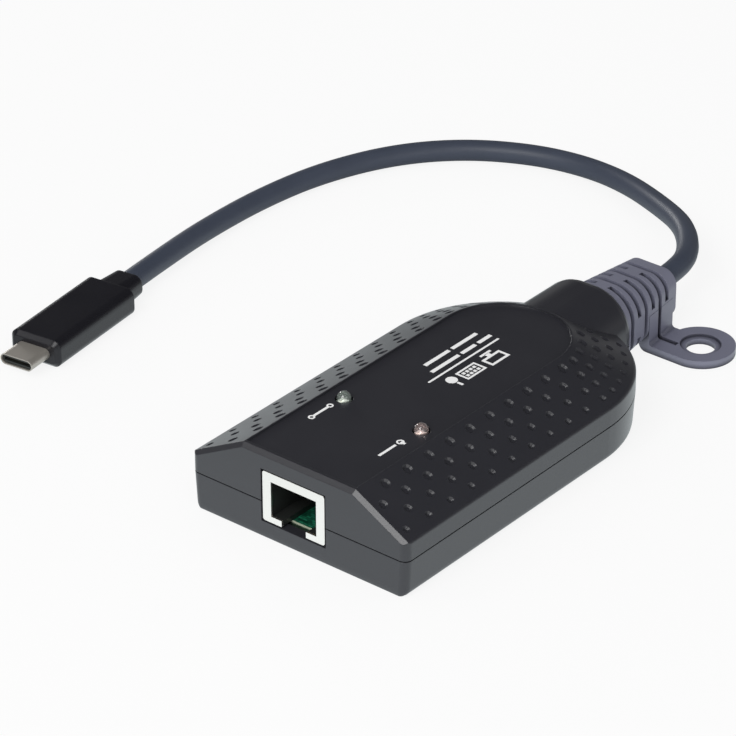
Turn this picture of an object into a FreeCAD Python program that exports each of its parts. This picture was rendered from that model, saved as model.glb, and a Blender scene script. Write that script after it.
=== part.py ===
import FreeCAD, Part
import math
import os

V = FreeCAD.Vector

# A network dongle lying on z = 0.  X is its width, the socket faces -Y, the cable leaves towards +Y,
# and the origin is under the middle of the case.  All sizes are millimetres.

# Case
case_width = 55.5
straight_length = 66.5      # from the front face to the centre of the round nose
collar_reach = 3.75         # how far the cable collar stands beyond the nose
wall = 2.0
floor_thickness = 1.5
parting_height = 8.4
reveal = 0.25               # shadow gap between the two shells
side_draft = 0.4
bottom_radius = 1.5
foot_steps = 4
front_edge = 0.25           # the front face stays upright and nearly sharp at its foot
corner_radius = 1.7
fit_gap = 0.1
tongue_thickness = 1.2
tongue_height = 1.2

# Roof: a flat panel between two sloping grips
band_top = 12.7             # upper edge of the upright side walls
band_radius = 1.0           # rounding of that edge
ridge_width = 28.8
ridge_height = 19.9
panel_drop = 0.5
rim_width = 0.3
panel_setback = 1.5
panel_thickness = 1.8
front_bevel = 0.9

# Grip dimples, in rows along the slope
dimple_rows = [             # from the lowest up: first one behind the front face, width
    (3.0, 1.7), (7.3, 2.0), (3.3, 2.2), (7.6, 2.4)]
lowest_row = 2.75           # up the slope from the side walls
highest_row = 2.3           # down the slope from the ridge
dimple_depth = 0.45
dimple_flare = 0.5          # how much the floor is narrower than the rim, on each side
dimple_sides = 12
dimple_spacing = 7.05       # at the front face
spacing_fade = 0.019        # what each millimetre towards the rear takes off the spacing
nose_spacing = 3.9
dimple_margin = 0.15        # left between the last dimples and the collar

# Collar round the cable boot
collar_half = 11.2
collar_top_radius = 9.7
collar_foot_radius = 3.2
shoulder_radius = 3.0
shoulder_steps = 5

# Network socket
socket_x = -1.0
socket_width = 16.0
socket_height = 11.5
socket_fold = 0.6           # outer radius of the can's long folds
socket_depth = 15.8
socket_recess = 0.1
socket_gap = 0.35
can_thickness = 0.35
frame_thickness = 0.5
port_width = 11.7
port_height = 8.1
port_sill = 1.4
port_depth = 11.5
port_clearance = 0.2
latch_width = 6.3
tab_width = 1.4
tab_drop = 2.2
tab_place = 9.5             # behind the can's front
contact_count = 8
contact_pitch = 1.02
contact_width = 0.4
contact_thickness = 0.3
contact_drop = 3.4          # from the cavity's roof to the springs' tails
contact_front = 1.0         # where a spring starts, behind the cavity's mouth
contact_bend = 2.4
contact_tail = 2.0

# Main board
board_thickness = 1.6
board_lift = 1.0            # height of the bosses that carry the board
board_gap = 0.35
board_setback = 3.5         # front edge of the board behind the front face
board_tail = 12.5           # board length beyond the nose centre
notch_gap = 0.4

# Screws
case_screws_at = [(-21.5, 9.0), (21.5, 9.0), (-17.0, 76.0), (17.0, 76.0)]    # x, behind the front
screw_shank = 2.0
screw_hole = 2.4
screw_head = 4.0
screw_head_height = 1.4
screw_length = 8.0
counterbore = 4.6
counterbore_depth = 1.8
post_width = 5.5
boss_width = 6.0
boss_top = 5.0
boss_root = 0.5             # the bosses start inside the floor
board_screws_at = [(-20.0, 42.0), (20.0, 42.0)]
board_screw_shank = 1.6
board_screw_hole = 2.0
board_screw_head = 3.6
board_screw_head_height = 1.0
board_screw_reach = 1.6     # how far the shank goes below the board
cross_width = 0.6
cross_length = 2.2
head_bevel = 0.35
cross_depth = 0.5

# Lamps
lamp_spread = 10.0
lamp_setback = 26.8
lamp_width = 3.0
lamp_hole = 3.8
lamp_top = 21.1
lamp_flange = 3.8
lamp_flange_height = 1.0
lamp_base = 14.9
lead_pitch = 2.54
lead_width = 0.5
lead_tail = 0.6             # how far the legs reach below the board

# Packages on the board: width, length and height, and how far each stands behind the front face
controller_size = (14.0, 14.0, 1.4)
controller_setback = 52.0
memory_size = (8.0, 10.0, 1.1)
memory_setback = 54.0
memory_inset = 10.85        # from the case wall's inner face to the package's middle
video_size = (9.0, 9.0, 1.0)
video_setback = 50.5
video_inset = 10.85
transformer_size = (13.0, 9.5, 5.4)
transformer_setback = 27.0
crystal_size = (3.2, 5.0, 1.2)
crystal_setback = 39.0
crystal_inset = 15.85
inductor_size = (5.0, 5.0, 2.6)
inductor_setback = 68.0
inductor_inset = 12.35
capacitor_width = 0.8
capacitor_length = 1.6
capacitor_height = 0.8
capacitor_spacing = 2.4
capacitor_count = 5
front_row_start = -8.5      # x of the row in front of the controller
front_row_setback = 38.0
rear_row_start = -6.0       # x of the row behind it
rear_row_setback = 63.5
package_draft = 0.25

# Cable header, plug and wires inside the case
header_width = 12.0
header_length = 6.0
header_height = 4.6
header_wall = 1.0
header_y = 67.5
plug_height = 3.0
inner_plug_length = 8.0
wire_count = 5
wire_width = 1.1
wire_spacing = 1.8          # at the plug
wire_bundle_spacing = 1.3   # at the boot
plug_ridge = 0.6            # finger ridge on the inner plug

# Cable boot: its front and rear sections are half width, top, bottom, upper and lower corner radius
boot_axis = 9.0
boot_front = (8.6, 17.6, 1.6, 7.4, 4.0)
boot_rear = (6.6, 14.8, 3.4, 3.4, 3.0)
boot_length = 21.4
neck_width = 11.0
neck_height = 9.0
flange_width = 14.0
flange_height = 11.0
flange_thickness = 2.5
groove_count = 6
groove_width = 1.35
groove_depth = 1.5
groove_spacing = 2.85
first_groove = 2.5
bridge_top = 3.4            # width of the web left over the top and the bottom
bridge_side = 5.0           # height of the web left at each side
bridge_front = 8.9          # height of the side webs' middle at the collar
bridge_fall = 0.11          # how much lower each further millimetre brings it

# Strap down the side of the boot, and its tab with a ring
strap_width = 10.0
strap_face_front = 7.7      # x of the outer face
strap_face_rear = 6.75
strap_thickness = 2.7
strap_bend_out = 1.9
strap_bend_in = 0.7
tab_thickness = 1.9
ring_x = 16.0
ring_setback = 17.8         # from the collar's end face
ring_radius = 7.6
ring_hole_radius = 3.25
ring_recess_radius = 4.5
ring_recess_depth = 0.6
strap_groove_width = 1.3
strap_groove_at = 4         # the boot groove that it carries on
groove_overrun = 0.6        # how far it runs into the ring's recess
strap_groove_depth = 0.7

# Cable and its far plug
cable_diameter = 5.0
plug_mouth_x = -91.6
plug_mouth_setback = 15.4   # behind the front face
plug_axis = 3.25            # height
plug_turn = 7.2             # degrees about Z
usb_width = 8.34
usb_height = 2.56
usb_sheet = 0.25
usb_exposed = 6.4
usb_buried = 5.0
usb_tongue_slot = 0.8
usb_slot_width = 6.8
usb_slot_depth = 5.6
usb_lip = 0.4
usb_contact_count = 12
usb_contact_pitch = 0.5
usb_contact_width = 0.28
usb_contact_height = 0.18
usb_contact_setback = 1.0   # behind the insulator's front
grip_width = 13.0
grip_height = 6.5
grip_length = 29.3
grip_radius = 2.0
grip_bevel = 1.0
plug_neck_width = 8.8
plug_neck_height = 6.1
plug_neck_radius = 2.6
plug_neck_length = 5.8
plug_neck_taper = 0.5       # how much smaller the tip is on every side
plug_board_width = 8.6
plug_board_length = 12.0
plug_board_thickness = 0.8

# Places that follow from the sizes above
case_half = case_width / 2
ridge_half = ridge_width / 2
case_length = straight_length + case_half + collar_reach
front_y = -case_length / 2
nose_y = front_y + straight_length
rear_y = case_length / 2
slope = math.atan2(ridge_height - band_top, case_half - ridge_half)
panel_height = ridge_height - panel_drop
ceiling = panel_height - panel_thickness
inner_half = case_half - side_draft - wall
inner_front = front_y + side_draft + wall
socket_z = floor_thickness + board_lift + board_thickness
board_z = floor_thickness + board_lift
port_z = socket_z + port_sill
can_front = front_y + socket_recess
high = ridge_height + 5
level_test = 0.01           # edges this near a level lie on it

# Cable route: hand-placed points, x, behind the front face, height
cable_points = [
    (0.0, 119.4, 9.0), (0.0, 129.0, 9.0), (-3.3, 138.4, 8.5), (-12.4, 149.4, 7.2),
    (-25.0, 157.6, 5.0), (-38.8, 163.9, 3.6), (-52.2, 166.2, 2.7), (-66.0, 163.6, 2.5),
    (-80.2, 155.6, 2.5), (-91.3, 142.8, 2.5), (-98.4, 125.0, 2.5), (-101.0, 106.4, 2.5),
    (-100.6, 87.8, 2.8), (-98.84, 72.75, 3.25), (-96.8, 56.574, 3.25)]


# ---- Helpers ----

def block(x0, x1, y0, y1, z0, z1):
    return Part.makeBox(x1 - x0, y1 - y0, z1 - z0, V(x0, y0, z0))


def rod(diameter, x, y, z0, z1):
    return Part.makeCylinder(diameter / 2, z1 - z0, V(x, y, z0), V(0, 0, 1))


def closed_wire(start, steps):
    # A step is a point, reached by a line, or a pair (middle, end), reached by an arc.
    edges = []
    here = start
    for step in steps:
        if isinstance(step, tuple):
            there = step[1]
            edges.append(Part.Arc(here, step[0], there).toShape())
        else:
            there = step
            edges.append(Part.LineSegment(here, there).toShape())
        here = there
    return Part.Wire(edges)


def nose_outline(half_width, start_y, z, corner=0.0):
    # Straight front and sides, closed by a half circle about the nose centre.
    w = half_width
    left = V(-w + corner, start_y, z)
    steps = [V(w - corner, start_y, z)]
    bulge = corner * (1 - math.sqrt(0.5))
    if corner:
        steps.append((V(w - bulge, start_y + bulge, z), V(w, start_y + corner, z)))
    steps.append(V(w, nose_y, z))
    steps.append((V(0, nose_y + w, z), V(-w, nose_y, z)))
    steps.append(V(-w, start_y + corner, z))
    if corner:
        steps.append((V(-w + bulge, start_y + bulge, z), left))
    return closed_wire(left, steps)


def nose_prism(half_width, start_y, z0, z1, corner=0.0):
    return Part.Face(nose_outline(half_width, start_y, z0, corner)).extrude(V(0, 0, z1 - z0))


def arch_section(sizes, y, inset=0.0):
    # Upright section with large upper corners and smaller lower ones, inset all round.
    half_width, top, bottom, top_radius, foot_radius = sizes
    w = half_width - inset
    t = top - inset
    f = bottom + inset
    r = top_radius - inset
    q = foot_radius - inset
    rb = r * (1 - math.sqrt(0.5))
    qb = q * (1 - math.sqrt(0.5))
    start = V(-w + r, y, t)
    return closed_wire(start, [
        V(w - r, y, t),
        (V(w - rb, y, t - rb), V(w, y, t - r)),
        V(w, y, f + q),
        (V(w - qb, y, f + qb), V(w - q, y, f)),
        V(-w + q, y, f),
        (V(-w + qb, y, f + qb), V(-w, y, f + q)),
        V(-w, y, t - r),
        (V(-w + rb, y, t - rb), start)])


def stadium(width, height, y):
    # Upright section with two straight sides and two half-round ends, about the plug's axis.
    r = height / 2
    w = width / 2
    start = V(-w + r, y, r)
    return closed_wire(start, [
        V(w - r, y, r),
        (V(w, y, 0), V(w - r, y, -r)),
        V(-w + r, y, -r),
        (V(-w, y, 0), start)])


def rounded_section(width, height, radius, y, inset=0.0):
    # Upright rectangle with round corners, about the plug's axis.
    w = width / 2 - inset
    h = height / 2 - inset
    r = radius - inset
    b = r * (1 - math.sqrt(0.5))
    start = V(-w + r, y, h)
    return closed_wire(start, [
        V(w - r, y, h),
        (V(w - b, y, h - b), V(w, y, h - r)),
        V(w, y, -h + r),
        (V(w - b, y, -h + b), V(w - r, y, -h)),
        V(-w + r, y, -h),
        (V(-w + b, y, -h + b), V(-w, y, -h + r)),
        V(-w, y, h - r),
        (V(-w + b, y, h - b), start)])


def loft(*wires):
    return Part.makeLoft(list(wires), True, True)


def along_y(wire, length):
    return Part.Face(wire).extrude(V(0, length, 0))


def package(size, x, setback):
    # Moulded body with drafted sides, standing on the board.
    width, length, height = size
    y = front_y + setback
    z = socket_z

    def ring(inset, level):
        return Part.makePolygon([
            V(x - width / 2 + inset, y - length / 2 + inset, level),
            V(x + width / 2 - inset, y - length / 2 + inset, level),
            V(x + width / 2 - inset, y + length / 2 - inset, level),
            V(x - width / 2 + inset, y + length / 2 - inset, level),
            V(x - width / 2 + inset, y - length / 2 + inset, level)])

    return loft(ring(0, z), ring(package_draft, z + height))


def tube(points, diameter, label=None):
    # Straight runs joined by tangent arcs as large as the shorter run beside each point allows.
    edges = []
    here = points[0]
    radii = []
    for before, corner, after in zip(points, points[1:], points[2:]):
        back = (before - corner)
        ahead = (after - corner)
        reach = 0.45 * min(back.Length, ahead.Length)
        back.normalize()
        ahead.normalize()
        half_turn = (math.pi - back.getAngle(ahead)) / 2
        radius = reach / math.tan(half_turn)
        radii.append(radius)
        start = corner + back * reach
        end = corner + ahead * reach
        inward = back + ahead
        inward.normalize()
        middle = corner + inward * (radius / math.cos(half_turn) - radius)
        edges.append(Part.LineSegment(here, start).toShape())
        edges.append(Part.Arc(start, middle, end).toShape())
        here = end
    edges.append(Part.LineSegment(here, points[-1]).toShape())
    path = Part.Wire(edges)
    heading = points[1] - points[0]
    circle = Part.Wire([Part.Circle(points[0], heading, diameter / 2).toShape()])
    solid = path.makePipeShell([circle], True, False)
    if label:
        expected = path.Length * math.pi * diameter ** 2 / 4
        print(label, "length", round(path.Length, 1), "volume ratio", round(solid.Volume / expected, 4))
        print(label, "bend radii", [round(r, 1) for r in radii])
    return solid


# ---- Case ----

collar_sizes = (collar_half, ridge_height, 0.0, collar_top_radius, collar_foot_radius)


def roof_outline_solid(bottom):
    # The whole roof form, standing on straight walls that go down to the given height.
    walls = nose_prism(case_half, front_y, bottom, band_top)
    grips = loft(nose_outline(case_half, front_y, band_top), nose_outline(ridge_half, front_y, ridge_height))
    body = walls.fuse(grips).removeSplitter()
    shoulder = [
        edge for edge in body.Edges
        if abs(edge.BoundBox.ZMin - band_top) < level_test
        and abs(edge.BoundBox.ZMax - band_top) < level_test
        and edge.BoundBox.YMax > front_y + level_test]
    return body.makeFillet(band_radius, shoulder)


def front_corner_cuts():
    cuts = []
    r = corner_radius
    for side in (-1, 1):
        x = side * (case_half - r)
        square = block(min(x, side * high * 2), max(x, side * high * 2), front_y - 1, front_y + r, 0, high)
        cuts.append(square.cut(rod(2 * r, x, front_y + r, 0, high)))
    return cuts


def front_bevel_cut():
    # What a 45 degree bevel takes off the front edges of the grips and the panel.
    b = front_bevel
    drop = b / math.cos(slope)
    lean = b * math.tan(slope / 2)

    def profile(y, b_here, drop_here, lean_here):
        edge = case_half + 1
        shoulder = band_top - math.tan(slope) - drop_here
        top_half = ridge_half - lean_here
        points = [
            V(-edge, y, 0), V(edge, y, 0), V(edge, y, shoulder),
            V(top_half, y, ridge_height - b_here), V(-top_half, y, ridge_height - b_here),
            V(-edge, y, shoulder), V(-edge, y, 0)]
        return Part.makePolygon(points)

    kept = loft(profile(front_y, b, drop, lean), profile(front_y + b, 0, 0, 0))
    return block(-case_half - 1, case_half + 1, front_y, front_y + b, 0, high).cut(kept)


def upper_cavity():
    inner_band = band_top + wall * math.tan(slope) - wall / math.cos(slope)
    ceiling_half = case_half - (ceiling - band_top + wall / math.cos(slope)) / math.tan(slope)
    room = case_half - wall
    straight = nose_prism(room, front_y + wall, 0, inner_band)
    sloped = loft(
        nose_outline(room, front_y + wall, inner_band),
        nose_outline(ceiling_half, front_y + wall, ceiling))
    return straight.fuse(sloped)


def collar_solid():
    # Straight barrel whose end is rounded over by a loft through ever smaller sections.
    start = rear_y - shoulder_radius
    stations = [arch_section(collar_sizes, nose_y)]
    for i in range(shoulder_steps + 1):
        turn = math.pi / 2 * i / shoulder_steps
        inset = shoulder_radius * (1 - math.cos(turn))
        stations.append(arch_section(collar_sizes, start + shoulder_radius * math.sin(turn), inset))
    return loft(*stations)


def collar_channel():
    start = nose_y + ridge_half
    return along_y(arch_section(collar_sizes, start, wall), rear_y - wall - start)


def neck_hole():
    w = neck_width / 2 + fit_gap
    h = neck_height / 2 + fit_gap
    return block(-w, w, rear_y - wall - 1, rear_y + 1, boot_axis - h, boot_axis + h)


def tongue(gap):
    # Ring on the lower shell that locates the upper one, with a strip beside the collar's channel.
    outer = inner_half + tongue_thickness + gap
    z0 = parting_height - reveal / 2 - gap
    z1 = parting_height + tongue_height
    ring = nose_prism(outer, inner_front - tongue_thickness - gap, z0, z1)
    ring = ring.cut(nose_prism(inner_half - gap, inner_front + gap, z0, z1))
    ring = ring.cut(collar_channel())
    strip_in = collar_half - wall - gap
    strip_out = collar_half - wall + tongue_thickness + gap
    for x0, x1 in ((-strip_out, -strip_in), (strip_in, strip_out)):
        ring = ring.fuse(block(x0, x1, nose_y + ridge_half, rear_y - wall, z0, z1))
    return ring


def socket_opening():
    # Mouth in the front walls, with room for the whole can behind it.
    w = socket_width / 2 + socket_gap
    return block(
        socket_x - w, socket_x + w, front_y - 1, can_front + socket_depth + socket_gap,
        socket_z - socket_gap, socket_z + socket_height + socket_gap)


def dish(width):
    # Shallow dimple cutter about the origin, its axis along Z, with a flat floor below z = 0.
    def ring(radius, z):
        points = []
        for i in range(dimple_sides + 1):
            angle = 2 * math.pi * i / dimple_sides
            points.append(V(radius * math.cos(angle), radius * math.sin(angle), z))
        return Part.makePolygon(points)

    rim = width / 2
    return loft(ring(rim - dimple_flare, -dimple_depth), ring(rim + dimple_flare, dimple_depth))


def slope_height(distance):
    return band_top + distance * math.sin(slope)


def collar_half_at(z):
    above = z - (ridge_height - collar_top_radius)
    return collar_half - collar_top_radius + math.sqrt(collar_top_radius ** 2 - above ** 2)


def dimples():
    # Each row runs back along the straight side and then round the nose, as far as the collar.
    dishes = []
    slope_length = math.hypot(case_half - ridge_half, ridge_height - band_top)
    row_spacing = (slope_length - lowest_row - highest_row) / (len(dimple_rows) - 1)
    for row, (first, width) in enumerate(dimple_rows):
        distance = lowest_row + row * row_spacing
        cutter = dish(width)
        radius = case_half - distance * math.cos(slope)
        z = slope_height(distance)
        edge = collar_half_at(z) + dimple_margin + width / 2
        along = first
        while True:
            angle = max(0.0, along - straight_length) / radius
            x = radius * math.cos(angle)
            if x < edge:
                break
            y = front_y + min(along, straight_length) + radius * math.sin(angle)
            for side in (-1, 1):
                normal = V(side * math.sin(slope) * math.cos(angle), math.sin(slope) * math.sin(angle),
                           math.cos(slope))
                one = cutter.copy()
                one.Placement = FreeCAD.Placement(V(side * x, y, z), FreeCAD.Rotation(V(0, 0, 1), normal))
                dishes.append(one)
            on_nose = along > straight_length - nose_spacing
            along += nose_spacing if on_nose else dimple_spacing - spacing_fade * along
    return dishes


def upper_shell():
    split = parting_height + reveal / 2
    body = roof_outline_solid(split)
    top_half = block(-case_half, case_half, nose_y, rear_y, split, high)
    body = body.fuse(collar_solid().common(top_half))
    body = body.cut(front_corner_cuts() + [front_bevel_cut()])
    panel = nose_prism(ridge_half - rim_width, front_y + panel_setback, panel_height, high)
    body = body.cut([panel, upper_cavity(), collar_channel()])
    inside = roof_outline_solid(0)
    for x, behind in case_screws_at:
        post = rod(post_width, x, front_y + behind, boss_top, high).common(inside)
        body = body.fuse(post)
    pilots = []
    for x, behind in case_screws_at:
        pilots.append(rod(screw_shank, x, front_y + behind, 0, counterbore_depth + screw_length))
    lamps = []
    for side in (-1, 1):
        lamps.append(rod(lamp_hole, side * lamp_spread, front_y + lamp_setback, ceiling - 1, high))
    body = body.cut(pilots + lamps + [tongue(fit_gap), neck_hole(), socket_opening()])
    body = body.cut(dimples())
    return body.removeSplitter()


def base_form(rim):
    # Drafted sides on a rounded foot and an upright front, lofted from the underside to the rim.
    stations = []
    for i in range(foot_steps + 1):
        turn = math.pi / 2 * i / foot_steps
        shrink = 1 - math.sin(turn)
        inset = side_draft + bottom_radius * shrink
        z = bottom_radius * (1 - math.cos(turn))
        corner = corner_radius - bottom_radius * shrink
        stations.append(nose_outline(case_half - inset, front_y + front_edge * shrink, z, corner))
    stations.append(nose_outline(case_half, front_y, rim, corner_radius))
    return loft(*stations)


def lower_shell():
    rim = parting_height - reveal / 2
    body = base_form(rim)
    bottom_half = block(-case_half, case_half, nose_y, rear_y, 0, rim)
    body = body.fuse(collar_solid().common(bottom_half))
    body = body.cut([nose_prism(inner_half, inner_front, floor_thickness, high), collar_channel()])
    body = body.fuse(tongue(0))
    for x, behind in case_screws_at:
        body = body.fuse(rod(boss_width, x, front_y + behind, boss_root, boss_top))
    for x, behind in board_screws_at:
        body = body.fuse(rod(boss_width, x, front_y + behind, boss_root, board_z))
    cuts = [neck_hole(), socket_opening()]
    for x, behind in case_screws_at:
        cuts.append(rod(counterbore, x, front_y + behind, -1, counterbore_depth))
        cuts.append(rod(screw_hole, x, front_y + behind, 0, high))
    for x, behind in board_screws_at:
        cuts.append(rod(board_screw_shank, x, front_y + behind, board_z - board_screw_reach, high))
    return body.cut(cuts).removeSplitter()


# ---- Network socket ----

def socket_box(inset, y0, y1, z0, z1):
    w = socket_width / 2 - inset
    return block(socket_x - w, socket_x + w, y0, y1, z0, z1)


def tab_places():
    y = can_front + tab_place
    w = socket_width / 2
    return [(socket_x - w, y), (socket_x + w - can_thickness, y)]


def latch_slot(y1):
    w = latch_width / 2
    return block(socket_x - w, socket_x + w, front_y - 1, y1, socket_z - 1, port_z + 1)


def rj45_shield():
    y0 = can_front
    y1 = y0 + socket_depth
    top = socket_z + socket_height
    can = socket_box(0, y0, y1, socket_z, top)
    folds = [edge for edge in can.Edges if edge.BoundBox.YLength > socket_depth - level_test]
    can = can.makeFillet(socket_fold, folds)
    can = can.cut(socket_box(can_thickness, y0 + frame_thickness, y1 - can_thickness,
                             socket_z - 1, top - can_thickness))
    w = port_width / 2
    port = block(socket_x - w, socket_x + w, y0 - 1, y0 + 1, port_z, port_z + port_height)
    can = can.cut([port, latch_slot(y0 + 1)])
    for x, y in tab_places():
        can = can.fuse(block(x, x + can_thickness, y, y + tab_width, socket_z - tab_drop, socket_z + 1))
    return can.removeSplitter()


def rj45_insulator():
    y0 = can_front + frame_thickness
    y1 = can_front + socket_depth - can_thickness
    top = socket_z + socket_height - can_thickness
    body = socket_box(can_thickness, y0, y1, socket_z, top)
    w = port_width / 2 + port_clearance
    back = y0 + port_depth
    port = block(socket_x - w, socket_x + w, y0 - 1, back, port_z - port_clearance,
                 port_z + port_height + port_clearance)
    return body.cut([port, latch_slot(back)])


def rj45_contacts():
    # Springs from the front of the cavity's roof down and back to its rear wall.
    y0 = can_front + frame_thickness
    back = y0 + port_depth
    roof = port_z + port_height + port_clearance
    t = contact_thickness
    low = roof - contact_drop
    start = y0 + contact_front
    bend = y0 + contact_bend
    tail = back - contact_tail
    profile = [
        (start, roof), (start, roof - t), (bend, roof - t), (tail, low - t),
        (back, low - t), (back, low), (tail + t, low), (bend + t, roof)]
    springs = []
    for i in range(contact_count):
        x = socket_x + (i - (contact_count - 1) / 2) * contact_pitch - contact_width / 2
        points = [V(x, y, z) for y, z in profile]
        face = Part.Face(Part.makePolygon(points + [points[0]]))
        springs.append(face.extrude(V(contact_width, 0, 0)))
    return Part.makeCompound(springs)


# ---- Board and what it carries ----

def lead_places(side):
    x = side * lamp_spread
    return [(x - lead_pitch / 2, front_y + lamp_setback), (x + lead_pitch / 2, front_y + lamp_setback)]


def main_board():
    half = inner_half - board_gap
    board = nose_prism(half, front_y + board_setback, board_z, socket_z)
    board = board.cut(block(-case_half, case_half, nose_y + board_tail, rear_y, 0, high))
    cuts = []
    for x, behind in case_screws_at:
        cuts.append(rod(boss_width + 2 * notch_gap, x, front_y + behind, 0, high))
        outward = math.copysign(case_half, x)
        cuts.append(block(min(x, outward), max(x, outward), front_y + behind - boss_width / 2,
                          front_y + behind + boss_width / 2, 0, high))
    for x, behind in board_screws_at:
        cuts.append(rod(board_screw_hole, x, front_y + behind, 0, high))
    for x, y in tab_places():
        cuts.append(block(x, x + can_thickness, y, y + tab_width, 0, high))
    for side in (-1, 1):
        for x, y in lead_places(side):
            cuts.append(rod(lead_width, x, y, 0, high))
    return board.cut(cuts)


def chip_capacitors():
    parts = []
    for first_x, setback in ((front_row_start, front_row_setback), (rear_row_start, rear_row_setback)):
        for i in range(capacitor_count):
            x = first_x + i * capacitor_spacing
            y = front_y + setback
            parts.append(block(x, x + capacitor_width, y, y + capacitor_length,
                               socket_z, socket_z + capacitor_height))
    return Part.makeCompound(parts)


def lamp(side):
    # Clear body with a flange at its foot and a round top, turned about its own axis.
    r = lamp_width / 2
    flange = lamp_flange / 2
    z0 = lamp_base
    z1 = lamp_base + lamp_flange_height
    shoulder = lamp_top - r
    dome = r * math.sqrt(0.5)
    start = V(0, 0, z0)
    outline = closed_wire(start, [
        V(flange, 0, z0), V(flange, 0, z1), V(r, 0, z1), V(r, 0, shoulder),
        (V(dome, 0, shoulder + dome), V(0, 0, lamp_top)), start])
    body = Part.Face(outline).revolve(V(0, 0, 0), V(0, 0, 1), 360)
    body.translate(V(side * lamp_spread, front_y + lamp_setback, 0))
    return body


def lamp_legs(side):
    legs = [rod(lead_width, x, y, board_z - lead_tail, lamp_base) for x, y in lead_places(side)]
    return Part.makeCompound(legs)


def wire_header():
    w = header_width / 2
    y0 = front_y + header_y
    y1 = y0 + header_length
    body = block(-w, w, y0, y1, socket_z, socket_z + header_height)
    room = block(-w + header_wall, w - header_wall, y0 + header_wall, y1 + 1,
                 socket_z + header_wall, socket_z + header_wall + plug_height)
    return body.cut(room)


def wire_plug():
    w = header_width / 2 - header_wall - fit_gap
    y0 = front_y + header_y + header_wall
    z0 = socket_z + header_wall
    body = block(-w, w, y0, y0 + inner_plug_length, z0, z0 + plug_height - fit_gap)
    ridge = block(-w / 2, w / 2, y0 + header_length, y0 + inner_plug_length,
                  z0, z0 + plug_height + plug_ridge)
    return body.fuse(ridge).removeSplitter()


def cable_wires():
    # Round wires that fan in from the plug to the boot's flange, cut flush at both ends.
    start_y = front_y + header_y + header_wall + inner_plug_length
    end_y = rear_y - wall - flange_thickness
    z0 = socket_z + header_wall + plug_height / 2
    wires = []
    for i in range(wire_count):
        place = i - (wire_count - 1) / 2
        start = V(place * wire_spacing, start_y, z0)
        end = V(place * wire_bundle_spacing, end_y, boot_axis)
        circle = Part.Circle(start, V(0, 1, 0), wire_width / 2).toShape()
        wires.append(Part.Face(Part.Wire([circle])).extrude(end - start))
    return Part.makeCompound(wires)


# ---- Screws ----

def screw(head, head_height, shank, length, head_up):
    # Round head with a cross recess, its flat side at z = 0 and the shank going up.
    body = Part.makeCylinder(head / 2, head_height, V(0, 0, -head_height))
    rim = [edge for edge in body.Edges if edge.BoundBox.ZMax < -head_height + level_test]
    body = body.makeChamfer(head_bevel, rim)
    body = body.fuse(Part.makeCylinder(shank / 2, length, V(0, 0, 0)))
    arm = cross_length / 2
    half = cross_width / 2
    bottom = -head_height - 1
    top = -head_height + cross_depth
    cross = block(-arm, arm, -half, half, bottom, top).fuse(block(-half, half, -arm, arm, bottom, top))
    body = body.cut(cross)
    if head_up:
        body.rotate(V(0, 0, 0), V(1, 0, 0), 180)
    return body


def case_screws():
    screws = []
    for x, behind in case_screws_at:
        one = screw(screw_head, screw_head_height, screw_shank, screw_length, False)
        one.translate(V(x, front_y + behind, counterbore_depth))
        screws.append(one)
    return Part.makeCompound(screws)


def board_screws():
    screws = []
    length = board_thickness + board_screw_reach
    for x, behind in board_screws_at:
        one = screw(board_screw_head, board_screw_head_height, board_screw_shank, length, True)
        one.translate(V(x, front_y + behind, socket_z))
        screws.append(one)
    return Part.makeCompound(screws)


# ---- Boot, strap and ring ----

def boot_sizes(share):
    return [a + (b - a) * share for a, b in zip(boot_front, boot_rear)]


def boot_section(behind_collar, inset=0.0):
    return arch_section(boot_sizes(behind_collar / boot_length), rear_y + behind_collar, inset)


def groove_cut(number):
    # One slot ring: two slots, parted by webs at top and bottom or at the two sides.
    y0 = first_groove + number * groove_spacing
    y1 = y0 + groove_width
    ring = block(-case_half, case_half, rear_y + y0, rear_y + y1, 0, high)
    core = loft(boot_section(y0 - groove_width, groove_depth), boot_section(y1 + groove_width, groove_depth))
    ring = ring.cut(core)
    if number % 2 == 0:
        web = block(-bridge_top / 2, bridge_top / 2, rear_y, rear_y + boot_length, 0, high)
    else:
        z = bridge_front - bridge_fall * y0
        web = block(-case_half, case_half, rear_y, rear_y + boot_length,
                    z - bridge_side / 2, z + bridge_side / 2)
    return ring.cut(web)


def strap_section(face_x, y):
    # From the boot's side down to the floor, then out to the ring.
    back = face_x - strap_thickness
    ro = strap_bend_out
    ri = strap_bend_in
    bo = ro * (1 - math.sqrt(0.5))
    bi = ri * (1 - math.sqrt(0.5))
    t = tab_thickness
    start = V(back, y, boot_axis)
    return closed_wire(start, [
        V(face_x, y, boot_axis),
        V(face_x, y, t + ri),
        (V(face_x + bi, y, t + bi), V(face_x + ri, y, t)),
        V(ring_x, y, t),
        V(ring_x, y, 0),
        V(back + ro, y, 0),
        (V(back + bo, y, bo), V(back, y, ro)),
        start])


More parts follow.
